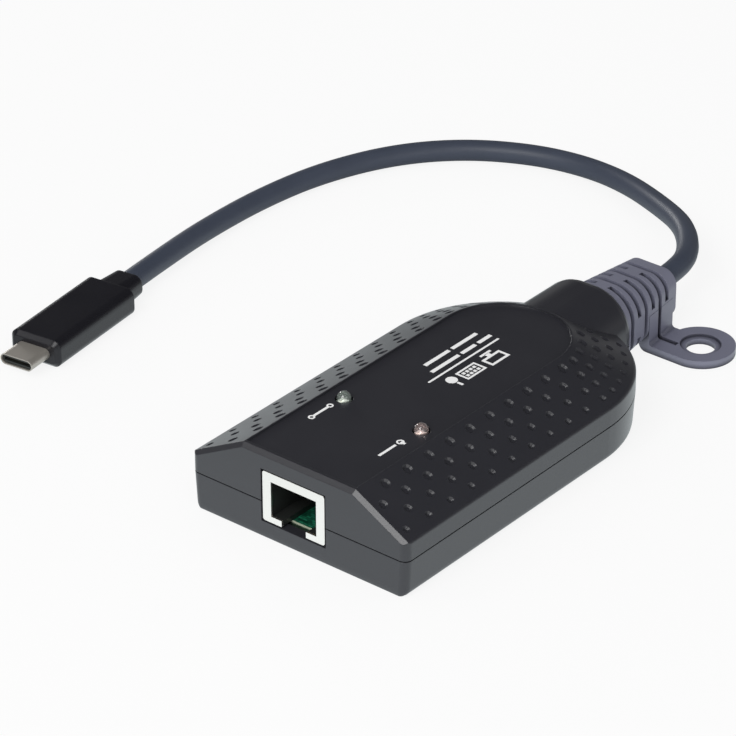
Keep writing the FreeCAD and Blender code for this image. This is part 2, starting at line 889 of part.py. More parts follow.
def strap_and_ring():
    y0 = rear_y + ring_setback - ring_radius
    strap = loft(
        strap_section(strap_face_front, y0),
        strap_section(strap_face_rear, y0 + strap_width))
    ring_y = rear_y + ring_setback
    body = strap.fuse(rod(2 * ring_radius, ring_x, ring_y, 0, tab_thickness))
    face_x = (strap_face_front + strap_face_rear) / 2
    middle = rear_y + first_groove + strap_groove_at * groove_spacing + groove_width / 2
    half = strap_groove_width / 2
    cuts = [
        rod(2 * ring_hole_radius, ring_x, ring_y, -1, high),
        rod(2 * ring_recess_radius, ring_x, ring_y, tab_thickness - ring_recess_depth, high),
        block(face_x - strap_groove_depth, face_x + strap_bend_in + 1, middle - half, middle + half,
              tab_thickness - strap_groove_depth, boot_axis + 1),
        block(face_x, ring_x - ring_recess_radius + groove_overrun, middle - half, middle + half,
              tab_thickness - strap_groove_depth, tab_thickness + 1)]
    return body, cuts


def strain_relief_boot():
    body = loft(boot_section(0), boot_section(boot_length))
    body = body.cut([groove_cut(i) for i in range(groove_count)])
    strap, cuts = strap_and_ring()
    body = body.fuse(strap)
    w = neck_width / 2
    h = neck_height / 2
    neck = block(-w, w, rear_y - wall, rear_y, boot_axis - h, boot_axis + h)
    w = flange_width / 2
    h = flange_height / 2
    y1 = rear_y - wall
    flange = block(-w, w, y1 - flange_thickness, y1, boot_axis - h, boot_axis + h)
    return body.fuse([neck, flange]).cut(cuts).removeSplitter()


# ---- Cable and far plug ----

def route():
    return [V(x, behind + front_y, z) for x, behind, z in cable_points]


def cable():
    return tube(route(), cable_diameter, "cable")


def at_plug(shape):
    # Plug pieces are modelled about their own axis, mouth at the origin, then laid in place.
    shape.rotate(V(0, 0, 0), V(0, 0, 1), plug_turn)
    shape.translate(V(plug_mouth_x, front_y + plug_mouth_setback, plug_axis))
    return shape


def usb_outer():
    return along_y(stadium(usb_width, usb_height, 0), usb_exposed + usb_buried)


def plug_board_block():
    w = plug_board_width / 2
    t = plug_board_thickness / 2
    y0 = usb_exposed + usb_buried
    return block(-w, w, y0, y0 + plug_board_length, -t, t)


def plug_shell():
    inner = stadium(usb_width - 2 * usb_sheet, usb_height - 2 * usb_sheet, -1)
    return at_plug(usb_outer().cut(along_y(inner, usb_exposed + usb_buried + 2)))


def plug_insulator():
    inner = stadium(usb_width - 2 * usb_sheet, usb_height - 2 * usb_sheet, usb_lip)
    body = along_y(inner, usb_exposed + usb_buried - usb_lip)
    w = usb_slot_width / 2
    h = usb_tongue_slot / 2
    slot = block(-w, w, 0, usb_lip + usb_slot_depth, -h, h)
    return at_plug(body.cut(slot))


def plug_contacts():
    h = usb_tongue_slot / 2
    y0 = usb_lip + usb_contact_setback
    y1 = usb_lip + usb_slot_depth
    rows = []
    for i in range(usb_contact_count):
        x = (i - (usb_contact_count - 1) / 2) * usb_contact_pitch - usb_contact_width / 2
        rows.append(block(x, x + usb_contact_width, y0, y1, h - usb_contact_height, h))
        rows.append(block(x, x + usb_contact_width, y0, y1, -h, -h + usb_contact_height))
    return at_plug(Part.makeCompound(rows))


def plug_board():
    return at_plug(plug_board_block())


def plug_overmold():
    def grip(y, inset=0.0):
        return rounded_section(grip_width, grip_height, grip_radius, y, inset)

    def neck(y, inset=0.0):
        return rounded_section(plug_neck_width, plug_neck_height, plug_neck_radius, y, inset)

    y0 = usb_exposed
    y1 = usb_exposed + grip_length
    body = loft(grip(y0, grip_bevel), grip(y0 + grip_bevel))
    body = body.fuse(along_y(grip(y0 + grip_bevel), grip_length - 2 * grip_bevel))
    body = body.fuse(loft(grip(y1 - grip_bevel), grip(y1, grip_bevel)))
    body = body.fuse(loft(neck(y1 - grip_bevel), neck(y1 + plug_neck_length, plug_neck_taper)))
    body = body.cut([usb_outer(), plug_board_block()])
    return at_plug(body.removeSplitter())


# ---- Build every piece ----

pieces = {
    "upper_shell": upper_shell,
    "lower_shell": lower_shell,
    "rj45_shield": rj45_shield,
    "rj45_insulator": rj45_insulator,
    "rj45_contacts": rj45_contacts,
    "main_board": main_board,
    "controller_chip": lambda: package(controller_size, 0.0, controller_setback),
    "memory_chip": lambda: package(memory_size, memory_inset - inner_half, memory_setback),
    "video_chip": lambda: package(video_size, inner_half - video_inset, video_setback),
    "isolation_transformer": lambda: package(transformer_size, socket_x, transformer_setback),
    "crystal": lambda: package(crystal_size, inner_half - crystal_inset, crystal_setback),
    "power_inductor": lambda: package(inductor_size, inductor_inset - inner_half, inductor_setback),
    "chip_capacitors": chip_capacitors,
    "link_led": lambda: lamp(-1),
    "power_led": lambda: lamp(1),
    "link_led_legs": lambda: lamp_legs(-1),
    "power_led_legs": lambda: lamp_legs(1),
    "wire_header": wire_header,
    "wire_plug": wire_plug,
    "cable_wires": cable_wires,
    "strain_relief_boot": strain_relief_boot,
    "cable": cable,
    "plug_overmold": plug_overmold,
    "plug_shell": plug_shell,
    "plug_insulator": plug_insulator,
    "plug_contacts": plug_contacts,
    "plug_board": plug_board,
    "case_screws": case_screws,
    "board_screws": board_screws,
}

os.makedirs("parts", exist_ok=True)
for name, make in pieces.items():
    shape = make()
    shape.exportStep("parts/" + name + ".step")
    print(name, "solids", len(shape.Solids), "valid", shape.isValid(), "volume", round(shape.Volume, 1))
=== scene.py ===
import bpy
import math
from mathutils import Matrix, Vector


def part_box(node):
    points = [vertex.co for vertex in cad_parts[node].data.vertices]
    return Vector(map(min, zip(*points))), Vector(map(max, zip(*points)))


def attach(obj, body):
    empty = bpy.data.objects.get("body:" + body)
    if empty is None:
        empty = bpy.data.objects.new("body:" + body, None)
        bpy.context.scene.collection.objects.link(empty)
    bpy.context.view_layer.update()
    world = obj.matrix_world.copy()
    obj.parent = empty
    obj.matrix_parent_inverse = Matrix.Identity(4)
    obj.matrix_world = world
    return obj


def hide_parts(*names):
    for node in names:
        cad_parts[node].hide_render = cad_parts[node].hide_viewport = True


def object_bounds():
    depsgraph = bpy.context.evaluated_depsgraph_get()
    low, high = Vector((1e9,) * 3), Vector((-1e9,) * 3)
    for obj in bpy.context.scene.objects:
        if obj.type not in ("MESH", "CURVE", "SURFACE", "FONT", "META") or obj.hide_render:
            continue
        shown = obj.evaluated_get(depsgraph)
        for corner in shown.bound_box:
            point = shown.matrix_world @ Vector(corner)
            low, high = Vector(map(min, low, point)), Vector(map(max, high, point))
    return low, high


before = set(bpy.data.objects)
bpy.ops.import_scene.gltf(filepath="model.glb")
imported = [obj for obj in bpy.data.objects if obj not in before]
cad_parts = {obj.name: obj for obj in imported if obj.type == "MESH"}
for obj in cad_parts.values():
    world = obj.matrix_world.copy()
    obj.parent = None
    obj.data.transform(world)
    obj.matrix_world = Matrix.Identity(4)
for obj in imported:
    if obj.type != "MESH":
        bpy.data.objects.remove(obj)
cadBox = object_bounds()
mm = 0.001

bpy.context.scene.view_settings.view_transform = "Standard"


# camera: a long lens, high over the right front corner
cameraSet = {"azimuth": 39.44, "elevation": 30.11, "roll": -0.23, "distance": 857.9 * mm,
             "aim": (-35.3 * mm, 16.2 * mm, 0.0), "lens": 195.65, "sensor": 36, "clip": (0.01, 50)}


def makeCamera(s):
    az, el, roll = (math.radians(s[k]) for k in ("azimuth", "elevation", "roll"))
    turn = (Matrix.Rotation(az, 4, "Z") @ Matrix.Rotation(math.pi / 2 - el, 4, "X")
            @ Matrix.Rotation(roll, 4, "Z"))
    back = turn.col[2].to_3d()
    data = bpy.data.cameras.new("mainCamera")
    data.lens = s["lens"]
    data.sensor_width = s["sensor"]
    data.clip_start, data.clip_end = s["clip"]
    camera = bpy.data.objects.new("mainCamera", data)
    camera.matrix_world = Matrix.Translation(Vector(s["aim"]) + back * s["distance"]) @ turn
    bpy.context.scene.collection.objects.link(camera)
    bpy.context.scene.camera = camera
    print("camera at", tuple(round(v, 3) for v in camera.matrix_world.translation))


makeCamera(cameraSet)


# helpers for modelling and for materials

def deselectAll():
    if bpy.context.object and bpy.context.object.mode != "OBJECT":
        bpy.ops.object.mode_set(mode="OBJECT")
    bpy.ops.object.select_all(action="DESELECT")


def newMaterial(name, color, rough, metal=0.0):
    # one Principled shader with its plain sockets set
    mat = bpy.data.materials.new(name)
    mat.use_nodes = True
    shader = mat.node_tree.nodes["Principled BSDF"]
    shader.inputs["Base Color"].default_value = (*color, 1)
    shader.inputs["Roughness"].default_value = rough
    shader.inputs["Metallic"].default_value = metal
    return mat, shader


def addNode(mat, kind, **values):
    node = mat.node_tree.nodes.new(kind)
    for key, value in values.items():
        setattr(node, key, value)
    return node


def link(mat, a, b):
    mat.node_tree.links.new(a, b)


def newGroup(name, inputs, outputs):
    tree = bpy.data.node_groups.new(name, "ShaderNodeTree")
    for label, kind, value in inputs:
        socket = tree.interface.new_socket(label, in_out="INPUT", socket_type=kind)
        socket.default_value = value
    for label, kind in outputs:
        tree.interface.new_socket(label, in_out="OUTPUT", socket_type=kind)
    return tree, tree.nodes.new("NodeGroupInput"), tree.nodes.new("NodeGroupOutput")


grainSet = {"cloudScale": 90, "cloudDetail": 3, "grainDetail": 2, "bumpDistance": 0.06 * mm,
            "edgeSamples": 4}
creviceSet = {"samples": 8}


def makeGrainGroup(s):
    # fine moulded grain: a colour that drifts a little, a roughness that follows it, and a soft bump
    tree, gin, gout = newGroup(
        "mouldedGrain",
        [("Color", "NodeSocketColor", (0.1, 0.1, 0.1, 1)), ("Drift", "NodeSocketFloat", 0.15),
         ("Roughness", "NodeSocketFloat", 0.45), ("Rough Range", "NodeSocketFloat", 0.06),
         ("Grain Scale", "NodeSocketFloat", 2600.0), ("Bump", "NodeSocketFloat", 0.12),
         ("Edge", "NodeSocketFloat", 0.00025)],
        [("Color", "NodeSocketColor"), ("Roughness", "NodeSocketFloat"), ("Normal", "NodeSocketVector")])
    nodes, links = tree.nodes, tree.links
    coord = nodes.new("ShaderNodeTexCoord")
    cloud = nodes.new("ShaderNodeTexNoise")
    cloud.inputs["Scale"].default_value = s["cloudScale"]
    cloud.inputs["Detail"].default_value = s["cloudDetail"]
    grain = nodes.new("ShaderNodeTexNoise")
    grain.inputs["Detail"].default_value = s["grainDetail"]
    links.new(coord.outputs["Object"], cloud.inputs["Vector"])
    links.new(coord.outputs["Object"], grain.inputs["Vector"])
    links.new(gin.outputs["Grain Scale"], grain.inputs["Scale"])

    centred = nodes.new("ShaderNodeMath")       # cloud noise about zero
    centred.operation = "SUBTRACT"
    centred.inputs[1].default_value = 0.5
    links.new(cloud.outputs["Fac"], centred.inputs[0])
    drift = nodes.new("ShaderNodeMath")
    drift.operation = "MULTIPLY"
    links.new(centred.outputs[0], drift.inputs[0])
    links.new(gin.outputs["Drift"], drift.inputs[1])
    factor = nodes.new("ShaderNodeMath")
    factor.operation = "ADD"
    factor.inputs[1].default_value = 1.0
    links.new(drift.outputs[0], factor.inputs[0])
    tint = nodes.new("ShaderNodeVectorMath")
    tint.operation = "SCALE"
    links.new(gin.outputs["Color"], tint.inputs[0])
    links.new(factor.outputs[0], tint.inputs["Scale"])
    links.new(tint.outputs["Vector"], gout.inputs["Color"])

    swing = nodes.new("ShaderNodeMath")
    swing.operation = "MULTIPLY_ADD"
    links.new(centred.outputs[0], swing.inputs[0])
    links.new(gin.outputs["Rough Range"], swing.inputs[1])
    links.new(gin.outputs["Roughness"], swing.inputs[2])
    links.new(swing.outputs[0], gout.inputs["Roughness"])

    bevel = nodes.new("ShaderNodeBevel")        # softens the moulded edges
    bevel.samples = s["edgeSamples"]
    links.new(gin.outputs["Edge"], bevel.inputs["Radius"])
    bump = nodes.new("ShaderNodeBump")
    bump.inputs["Distance"].default_value = s["bumpDistance"]
    links.new(gin.outputs["Bump"], bump.inputs["Strength"])
    links.new(grain.outputs["Fac"], bump.inputs["Height"])
    links.new(bevel.outputs["Normal"], bump.inputs["Normal"])
    links.new(bump.outputs["Normal"], gout.inputs["Normal"])
    return tree


def makeCreviceGroup(s):
    # painted shade for narrow grooves: a factor of one at the open surface, towards zero deep inside
    tree, gin, gout = newGroup(
        "paintedCreviceShade", [("Reach", "NodeSocketFloat", 0.001), ("Depth", "NodeSocketFloat", 1.0)],
        [("Open", "NodeSocketFloat")])
    nodes, links = tree.nodes, tree.links
    cover = nodes.new("ShaderNodeAmbientOcclusion")
    cover.samples = s["samples"]
    links.new(gin.outputs["Reach"], cover.inputs["Distance"])
    power = nodes.new("ShaderNodeMath")
    power.operation = "POWER"
    links.new(cover.outputs["AO"], power.inputs[0])
    links.new(gin.outputs["Depth"], power.inputs[1])
    links.new(power.outputs[0], gout.inputs["Open"])
    return tree


grainGroup = makeGrainGroup(grainSet)
creviceGroup = makeCreviceGroup(creviceSet)


def grainMaterial(name, s):
    # a moulded, cast or plated finish; "edge" and "reach" are lengths, "grain" is the noise scale
    mat, shader = newMaterial(name, s["color"], s["rough"], s.get("metal", 0.0))
    shader.inputs["IOR"].default_value = s.get("ior", 1.5)
    group = addNode(mat, "ShaderNodeGroup", node_tree=grainGroup)
    group.inputs["Color"].default_value = (*s["color"], 1)
    group.inputs["Drift"].default_value = s["drift"]
    group.inputs["Roughness"].default_value = s["rough"]
    group.inputs["Rough Range"].default_value = s["range"]
    group.inputs["Grain Scale"].default_value = s["grain"]
    group.inputs["Bump"].default_value = s["bump"]
    group.inputs["Edge"].default_value = s["edge"]
    # painted shade: with a "reach", the colour and specular level are darkened in grooves by the occlusion
    # factor
    if "reach" in s:
        crevice = addNode(mat, "ShaderNodeGroup", node_tree=creviceGroup)
        crevice.inputs["Reach"].default_value = s["reach"]
        crevice.inputs["Depth"].default_value = s["depth"]
        shade = addNode(mat, "ShaderNodeVectorMath", operation="SCALE")
        link(mat, group.outputs["Color"], shade.inputs[0])
        link(mat, crevice.outputs["Open"], shade.inputs["Scale"])
        link(mat, shade.outputs["Vector"], shader.inputs["Base Color"])
        link(mat, crevice.outputs["Open"], shader.inputs["Specular IOR Level"])
    else:
        link(mat, group.outputs["Color"], shader.inputs["Base Color"])
    link(mat, group.outputs["Roughness"], shader.inputs["Roughness"])
    link(mat, group.outputs["Normal"], shader.inputs["Normal"])
    return mat


def dress(nodeName, mat):
    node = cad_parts[nodeName]
    node.data.materials.clear()
    node.data.materials.append(mat)


# cable: the route repeats the construction's own points, behind the front face, in millimetres
cableSet = {"diameter": 5.0 * mm, "length": 212.0 * mm, "roundSteps": 8, "lengthSteps": 12,
            "finish": {"color": (0.050, 0.061, 0.090), "rough": 0.46, "drift": 0.22, "range": 0.1,
                       "grain": 1500.0, "bump": 0.08, "edge": 0.0001}}
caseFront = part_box("lower_shell")[0].y
cablePoints = [
    (0.0, 119.4, 9.0), (0.0, 129.0, 9.0), (-3.3, 138.4, 8.5), (-12.4, 149.4, 7.2),
    (-25.0, 157.6, 5.0), (-38.8, 163.9, 3.6), (-52.2, 166.2, 2.7), (-66.0, 163.6, 2.5),
    (-80.2, 155.6, 2.5), (-91.3, 142.8, 2.5), (-98.4, 125.0, 2.5), (-101.0, 106.4, 2.5),
    (-100.6, 87.8, 2.8), (-98.84, 72.75, 3.25), (-96.8, 56.574, 3.25)]


def makeCable(s):
    curve = bpy.data.curves.new("cableJacket", "CURVE")
    curve.dimensions = "3D"
    curve.bevel_depth = s["diameter"] / 2
    curve.bevel_resolution = s["roundSteps"]
    curve.resolution_u = s["lengthSteps"]
    spline = curve.splines.new("NURBS")
    spline.points.add(len(cablePoints) - 1)
    for point, (x, behind, z) in zip(spline.points, cablePoints):
        point.co = (x * mm, caseFront + behind * mm, z * mm, 1)
    spline.order_u = 3
    spline.use_endpoint_u = True
    cable = bpy.data.objects.new("cableJacket", curve)
    bpy.context.scene.collection.objects.link(cable)
    cable.data.materials.append(grainMaterial("cableJacketFinish", s["finish"]))
    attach(cable, "root")
    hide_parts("cable")
    x, behind, z = cablePoints[0]
    print("cable made")


makeCable(cableSet)


# floor, world and lamps
stageSet = {"floorSize": 6.0, "floorDrop": 0.02 * mm, "floorColor": (0.86, 0.86, 0.86), "cameraGlow": 0.86,
            "shineColor": (0.91, 0.98, 1.0), "nearReach": 0.085, "farReach": 0.15, "farShine": 0.06,
            "worldLight": 0.50, "horizon": 0.30, "overhead": 0.015, "brightUpTo": 0.16, "darkFrom": 0.34}


def makeFloor(s):
    deselectAll()
    bpy.ops.mesh.primitive_plane_add(size=s["floorSize"], location=(0, 0, cadBox[0][2] - s["floorDrop"]))
    floor = bpy.context.object
    floor.name = "studioFloor"
    mat = bpy.data.materials.new("paleFloor")
    mat.use_nodes = True
    nodes = mat.node_tree.nodes
    nodes.clear()
    out = nodes.new("ShaderNodeOutputMaterial")
    diffuse = nodes.new("ShaderNodeBsdfDiffuse")
    diffuse.inputs["Color"].default_value = (*s["floorColor"], 1)
    white = nodes.new("ShaderNodeEmission")
    white.inputs["Strength"].default_value = 1.0
    shine = nodes.new("ShaderNodeEmission")
    shine.inputs["Color"].default_value = (*s["shineColor"], 1)
    path = nodes.new("ShaderNodeLightPath")
    seen = nodes.new("ShaderNodeMath")
    seen.operation = "MAXIMUM"
    share = nodes.new("ShaderNodeMath")
    share.operation = "MULTIPLY"
    share.inputs[1].default_value = s["cameraGlow"]
    coord = nodes.new("ShaderNodeTexCoord")
    reach = nodes.new("ShaderNodeVectorMath")
    reach.operation = "LENGTH"
    fade = nodes.new("ShaderNodeMapRange")      # the shine dims away from the object
    fade.inputs["From Min"].default_value = s["nearReach"]
    fade.inputs["From Max"].default_value = s["farReach"]
    fade.inputs["To Min"].default_value = 1.0
    fade.inputs["To Max"].default_value = s["farShine"]
    mixCamera = nodes.new("ShaderNodeMixShader")
    mixShine = nodes.new("ShaderNodeMixShader")
    link(mat, path.outputs["Is Camera Ray"], seen.inputs[0])
    link(mat, path.outputs["Is Transmission Ray"], seen.inputs[1])
    link(mat, seen.outputs[0], share.inputs[0])
    link(mat, share.outputs[0], mixCamera.inputs["Fac"])
    link(mat, diffuse.outputs[0], mixCamera.inputs[1])
    link(mat, white.outputs[0], mixCamera.inputs[2])
    link(mat, coord.outputs["Object"], reach.inputs[0])
    link(mat, reach.outputs["Value"], fade.inputs["Value"])
    link(mat, fade.outputs[0], shine.inputs["Strength"])
    link(mat, path.outputs["Is Glossy Ray"], mixShine.inputs["Fac"])
    link(mat, mixCamera.outputs[0], mixShine.inputs[1])
    link(mat, shine.outputs[0], mixShine.inputs[2])
    link(mat, mixShine.outputs[0], out.inputs["Surface"])
    floor.data.materials.append(mat)


def makeWorld(s):
    # white to the camera; a soft grey light on the object; a darker ceiling in what shines
    world = bpy.data.worlds.new("studioWorld")
    bpy.context.scene.world = world
    world.use_nodes = True
    nodes, links = world.node_tree.nodes, world.node_tree.links
    nodes.clear()
    out = nodes.new("ShaderNodeOutputWorld")
    path = nodes.new("ShaderNodeLightPath")
    white = nodes.new("ShaderNodeBackground")
    white.inputs["Strength"].default_value = 1.0
    soft = nodes.new("ShaderNodeBackground")
    soft.inputs["Color"].default_value = (1, 1, 1, 1)
    soft.inputs["Strength"].default_value = s["worldLight"]
    shine = nodes.new("ShaderNodeBackground")
    coord = nodes.new("ShaderNodeTexCoord")
    split = nodes.new("ShaderNodeSeparateXYZ")
    ramp = nodes.new("ShaderNodeValToRGB")
    ramp.color_ramp.elements[0].position = s["brightUpTo"]
    ramp.color_ramp.elements[0].color = (s["horizon"], s["horizon"], s["horizon"], 1)
    ramp.color_ramp.elements[1].position = s["darkFrom"]
    ramp.color_ramp.elements[1].color = (s["overhead"], s["overhead"], s["overhead"], 1)
    mixShine = nodes.new("ShaderNodeMixShader")
    mixCamera = nodes.new("ShaderNodeMixShader")
    either = nodes.new("ShaderNodeMath")
    either.operation = "MAXIMUM"
    links.new(coord.outputs["Generated"], split.inputs[0])
    links.new(split.outputs["Z"], ramp.inputs["Fac"])
    links.new(ramp.outputs["Color"], shine.inputs["Color"])
    links.new(path.outputs["Is Glossy Ray"], mixShine.inputs["Fac"])
    links.new(soft.outputs[0], mixShine.inputs[1])
    links.new(shine.outputs[0], mixShine.inputs[2])
    links.new(path.outputs["Is Camera Ray"], either.inputs[0])
    links.new(path.outputs["Is Transmission Ray"], either.inputs[1])
    links.new(either.outputs[0], mixCamera.inputs["Fac"])
    links.new(mixShine.outputs[0], mixCamera.inputs[1])
    links.new(white.outputs[0], mixCamera.inputs[2])
    links.new(mixCamera.outputs[0], out.inputs["Surface"])


lampSets = [
    {"name": "keyLamp", "place": (0.12, -0.95, 0.90), "size": 0.75, "power": 8.7},
    {"name": "sideLamp", "place": (1.05, -0.45, 0.45), "size": 0.8, "power": 2.4},
    {"name": "rimLamp", "place": (-0.72, -0.64, 0.88), "size": 0.22, "power": 0.45},
    {"name": "glintLamp", "place": (-1.15, 0.55, 0.30), "size": 0.2, "power": 2.2},
]


def makeLamps(sets):
    for s in sets:
        data = bpy.data.lights.new(s["name"], "AREA")
        data.energy = s["power"]
        data.size = s["size"]
        lamp = bpy.data.objects.new(s["name"], data)
        lamp.location = s["place"]
        lamp.rotation_euler = (-Vector(s["place"])).to_track_quat("-Z", "Y").to_euler()
        bpy.context.scene.collection.objects.link(lamp)


makeFloor(stageSet)
makeWorld(stageSet)
makeLamps(lampSets)
print("studio made")


# finishes of the construction's own pieces
finishSets = {
    "casePlastic": {"color": (0.0270, 0.0273, 0.0335), "rough": 0.30, "ior": 1.6, "drift": 0.18,
                    "range": 0.10, "grain": 3200.0, "bump": 0.22, "edge": 0.00018},
    "blackMoulding": {"color": (0.020, 0.022, 0.021), "rough": 0.3, "drift": 0.1, "range": 0.05,
                      "grain": 2600.0, "bump": 0.1, "edge": 0.0001},
    "bootRubber": {"color": (0.176, 0.180, 0.245), "rough": 0.46, "drift": 0.2, "range": 0.08,
                   "grain": 2000.0, "bump": 0.15, "edge": 0.0002, "reach": 0.0013, "depth": 2.0},
    "plugPlastic": {"color": (0.0125, 0.0123, 0.0160), "rough": 0.25, "ior": 1.42, "drift": 0.15,
                    "range": 0.08, "grain": 3000.0, "bump": 0.15, "edge": 0.0004},
    "tinPlate": {"color": (1.0, 0.955, 0.91), "rough": 0.34, "metal": 1.0, "drift": 0.06, "range": 0.12,
                 "grain": 1800.0, "bump": 0.04, "edge": 0.0001},
    "nickelShell": {"color": (0.50, 0.47, 0.425), "rough": 0.42, "metal": 0.65, "drift": 0.1,
                    "range": 0.1, "grain": 2200.0, "bump": 0.05, "edge": 0.0001},
    "goldContact": {"color": (0.83, 0.62, 0.25), "rough": 0.25, "metal": 1.0, "drift": 0.08,
                    "range": 0.08, "grain": 2400.0, "bump": 0.03, "edge": 0.00004},
    "screwSteel": {"color": (0.35, 0.36, 0.37), "rough": 0.35, "metal": 1.0, "drift": 0.15,
                   "range": 0.12, "grain": 1500.0, "bump": 0.06, "edge": 0.0001},
    "chipEpoxy": {"color": (0.014, 0.014, 0.015), "rough": 0.55, "drift": 0.2, "range": 0.08,
                  "grain": 3600.0, "bump": 0.3, "edge": 0.0001},
    "ceramicTan": {"color": (0.32, 0.2, 0.1), "rough": 0.5, "drift": 0.2, "range": 0.05,
                   "grain": 2600.0, "bump": 0.1, "edge": 0.00005},
    "whiteNylon": {"color": (0.78, 0.75, 0.68), "rough": 0.45, "drift": 0.05, "range": 0.05,
                   "grain": 2000.0, "bump": 0.08, "edge": 0.0001},
    "wireJackets": {"color": (0.25, 0.27, 0.3), "rough": 0.4, "drift": 0.5, "range": 0.05,
                    "grain": 1200.0, "bump": 0.05, "edge": 0.0001},
}
finishOf = {
    "upper_shell": "casePlastic", "lower_shell": "casePlastic", "rj45_shield": "tinPlate",
    "rj45_insulator": "blackMoulding", "rj45_contacts": "goldContact", "main_board": "boardGreen",
    "controller_chip": "chipEpoxy", "memory_chip": "chipEpoxy", "video_chip": "chipEpoxy",
    "isolation_transformer": "chipEpoxy", "crystal": "tinPlate", "power_inductor": "chipEpoxy",
    "chip_capacitors": "ceramicTan", "link_led_legs": "tinPlate", "power_led_legs": "tinPlate",
    "wire_header": "whiteNylon", "wire_plug": "whiteNylon", "cable_wires": "wireJackets",
    "strain_relief_boot": "bootRubber", "plug_overmold": "plugPlastic", "plug_shell": "nickelShell",
    "plug_insulator": "blackMoulding", "plug_contacts": "goldContact", "plug_board": "boardGreen",
    "case_screws": "screwSteel", "board_screws": "screwSteel",
}


def boardMaterial(name, s):
    # green mask with copper runs under it; the cut edge shows the glass laminate, with painted shade
    # darkening it below its top
    mat, shader = newMaterial(name, s["mask"], s["rough"])
    coord = addNode(mat, "ShaderNodeTexCoord")
    split = addNode(mat, "ShaderNodeSeparateXYZ")
    upright = addNode(mat, "ShaderNodeMath", operation="ABSOLUTE")
    cut = addNode(mat, "ShaderNodeMath", operation="LESS_THAN")
    cut.inputs[1].default_value = s["edgeTurn"]
    runs = addNode(mat, "ShaderNodeTexBrick")
    runs.inputs["Scale"].default_value = s["runScale"]
    runs.inputs["Color1"].default_value = (*s["mask"], 1)
    runs.inputs["Color2"].default_value = (*s["copper"], 1)
    runs.inputs["Mortar"].default_value = (*s["gap"], 1)
    runs.inputs["Mortar Size"].default_value = s["gapSize"]
    fibre = addNode(mat, "ShaderNodeTexNoise")
    fibre.inputs["Scale"].default_value = s["fibreScale"]
    place = addNode(mat, "ShaderNodeSeparateXYZ")
    # painted shade: the laminate edge is darker below its top, mixed with the fibre noise
    edgeShade = addNode(mat, "ShaderNodeMapRange")
    edgeShade.inputs["From Min"].default_value = s["edgeShadeFrom"]
    edgeShade.inputs["From Max"].default_value = s["edgeShadeTo"]
    fibreAndShade = addNode(mat, "ShaderNodeMath", operation="MULTIPLY")
    laminate = addNode(mat, "ShaderNodeValToRGB")
    laminate.color_ramp.elements[0].color = (*s["laminateShaded"], 1)
    laminate.color_ramp.elements[1].color = (*s["laminateLight"], 1)
    laminate.color_ramp.elements[1].position = s["lightFrom"]
    mix = addNode(mat, "ShaderNodeMix", data_type="RGBA")
    link(mat, coord.outputs["Normal"], split.inputs[0])
    link(mat, split.outputs["Z"], upright.inputs[0])
    link(mat, upright.outputs[0], cut.inputs[0])
    link(mat, coord.outputs["Object"], runs.inputs["Vector"])
    link(mat, coord.outputs["Object"], fibre.inputs["Vector"])
    link(mat, coord.outputs["Object"], place.inputs[0])
    link(mat, place.outputs["Z"], edgeShade.inputs["Value"])
    link(mat, edgeShade.outputs[0], fibreAndShade.inputs[0])
    link(mat, fibre.outputs["Fac"], fibreAndShade.inputs[1])
    link(mat, fibreAndShade.outputs[0], laminate.inputs["Fac"])
    link(mat, cut.outputs[0], mix.inputs["Factor"])
    link(mat, runs.outputs["Color"], mix.inputs["A"])
    link(mat, laminate.outputs["Color"], mix.inputs["B"])
    link(mat, mix.outputs["Result"], shader.inputs["Base Color"])
    bump = addNode(mat, "ShaderNodeBump")
    bump.inputs["Strength"].default_value = s["bump"]
    bump.inputs["Distance"].default_value = s["bumpDistance"]
    link(mat, runs.outputs["Fac"], bump.inputs["Height"])
    link(mat, bump.outputs["Normal"], shader.inputs["Normal"])
    return mat


boardSet = {"mask": (0.002, 0.036, 0.020), "copper": (0.025, 0.250, 0.140), "gap": (0.001, 0.020, 0.011),
            "rough": 0.28, "edgeTurn": 0.5, "runScale": 420.0, "gapSize": 0.03, "fibreScale": 3500.0,
            "laminateShaded": (0.030, 0.050, 0.035), "laminateLight": (0.62, 0.68, 0.52),
            "edgeShadeFrom": 3.45 * mm, "edgeShadeTo": 3.8 * mm, "lightFrom": 0.5,
            "bump": 0.3, "bumpDistance": 0.04 * mm}


epoxySet = {"rough": 0.03, "transmission": 0.86, "coat": 1.0, "coatRough": 0.03, "ior": 1.5,
            "flowScale": 900, "bump": 0.04, "bumpDistance": 0.1 * mm}


def clearEpoxy(name, tint, s):
    # clear lamp body, unlit, with a slight tint and faint flow lines
    mat, shader = newMaterial(name, tint, s["rough"])
    shader.inputs["Transmission Weight"].default_value = s["transmission"]
    shader.inputs["Coat Weight"].default_value = s["coat"]
    shader.inputs["Coat Roughness"].default_value = s["coatRough"]
    shader.inputs["IOR"].default_value = s["ior"]
    coord = addNode(mat, "ShaderNodeTexCoord")
    noise = addNode(mat, "ShaderNodeTexNoise")
    noise.inputs["Scale"].default_value = s["flowScale"]
    bump = addNode(mat, "ShaderNodeBump")
    bump.inputs["Strength"].default_value = s["bump"]
    bump.inputs["Distance"].default_value = s["bumpDistance"]
    link(mat, coord.outputs["Object"], noise.inputs["Vector"])
    link(mat, noise.outputs["Fac"], bump.inputs["Height"])
    link(mat, bump.outputs["Normal"], shader.inputs["Normal"])
    return mat


finishes = {name: grainMaterial(name, s) for name, s in finishSets.items()}
finishes["boardGreen"] = boardMaterial("boardGreen", boardSet)
for nodeName, finishName in finishOf.items():
    dress(nodeName, finishes[finishName])
dress("link_led", clearEpoxy("linkLampEpoxy", (0.80, 0.90, 0.84), epoxySet))
dress("power_led", clearEpoxy("powerLampEpoxy", (0.95, 0.80, 0.78), epoxySet))
print("finishes made")


